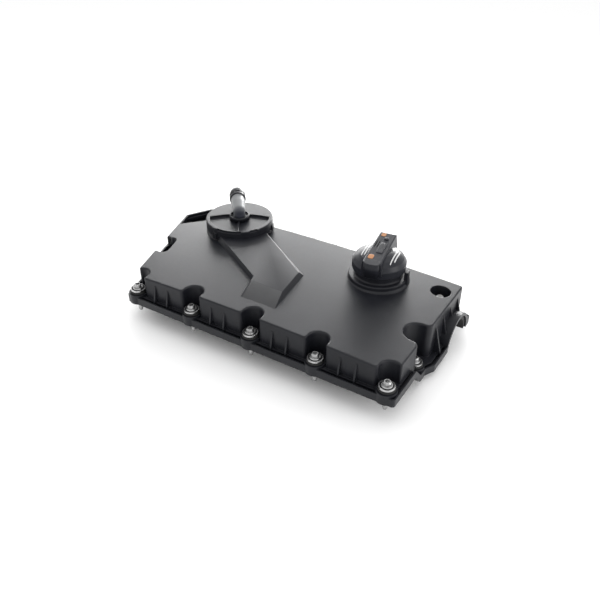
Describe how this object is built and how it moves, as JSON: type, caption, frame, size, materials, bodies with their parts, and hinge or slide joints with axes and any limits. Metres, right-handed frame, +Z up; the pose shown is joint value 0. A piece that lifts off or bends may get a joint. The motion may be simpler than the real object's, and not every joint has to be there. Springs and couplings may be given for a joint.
{
  "type": "engine valve cover",
  "caption": "Moulded plastic engine valve cover with bolts, stepped sealing flange, oil filler cap and crankcase pressure regulator with outlet nozzle",
  "frame": {"origin": "under the middle of the whole part, level with the lowest bolt tips", "axes": "+X along the bolt row towards the camshaft end opening, +Y from the front bolt row to the back, +Z up, away from the cylinder head"},
  "size_m": [0.4382, 0.2326, 0.1126],
  "materials": {
    "cover": "satin moulded",
    "gasket_rubber": "matt",
    "seal_rubber": "matt",
    "bolt_steel": "zinc plated",
    "washer_steel": "zinc plated",
    "grommet_rubber": "matt",
    "sleeve_steel": "turned",
    "baffle": "moulded",
    "screw_steel": "zinc plated",
    "lid": "satin moulded",
    "membrane_rubber": "matt",
    "piston_plastic": "moulded",
    "spring_steel": "drawn wire",
    "nozzle": "moulded, light grey",
    "ring_rubber": "matt",
    "snap_ring": "moulded",
    "cap": "satin moulded",
    "plug": "moulded",
    "cap_seal_rubber": "matt"
  },
  "bodies": {
    "cover": {"cover_shell": "cover", "perimeter_gasket": "gasket_rubber", "cam_end_seal": "seal_rubber", "cover_bolts": "bolt_steel", "column_bolts": "bolt_steel", "bolt_washers": "washer_steel", "grommets": "grommet_rubber", "bolt_sleeves": "sleeve_steel", "baffle_plate": "baffle", "baffle_screws": "screw_steel", "regulator_lid": "lid", "regulator_membrane": "membrane_rubber", "regulator_spring": "spring_steel", "outlet_nozzle": "nozzle", "nozzle_o_ring": "ring_rubber", "nozzle_quick_ring": "snap_ring"},
    "cap": {"filler_cap": "cap", "filler_cap_plug": "plug", "filler_cap_seal": "cap_seal_rubber"},
    "piston": {"regulator_piston": "piston_plastic"}
  },
  "joints": [
    {"name": "filler_cap_turn", "type": "hinge", "parent": "cover", "child": "cap", "pos_m": [0.10959, 0.0507, 0.086], "axis": [0, 0, 1], "range_deg": [0, 90]},
    {"name": "regulator_piston_slide", "type": "slide", "parent": "cover", "child": "piston", "axis": [0, 0, 1], "range_m": [0, 0.0035], "stiffness_N_per_m": 200, "springref_m": -0.003, "deforming": ["regulator_membrane", "regulator_spring"]}
  ]
}
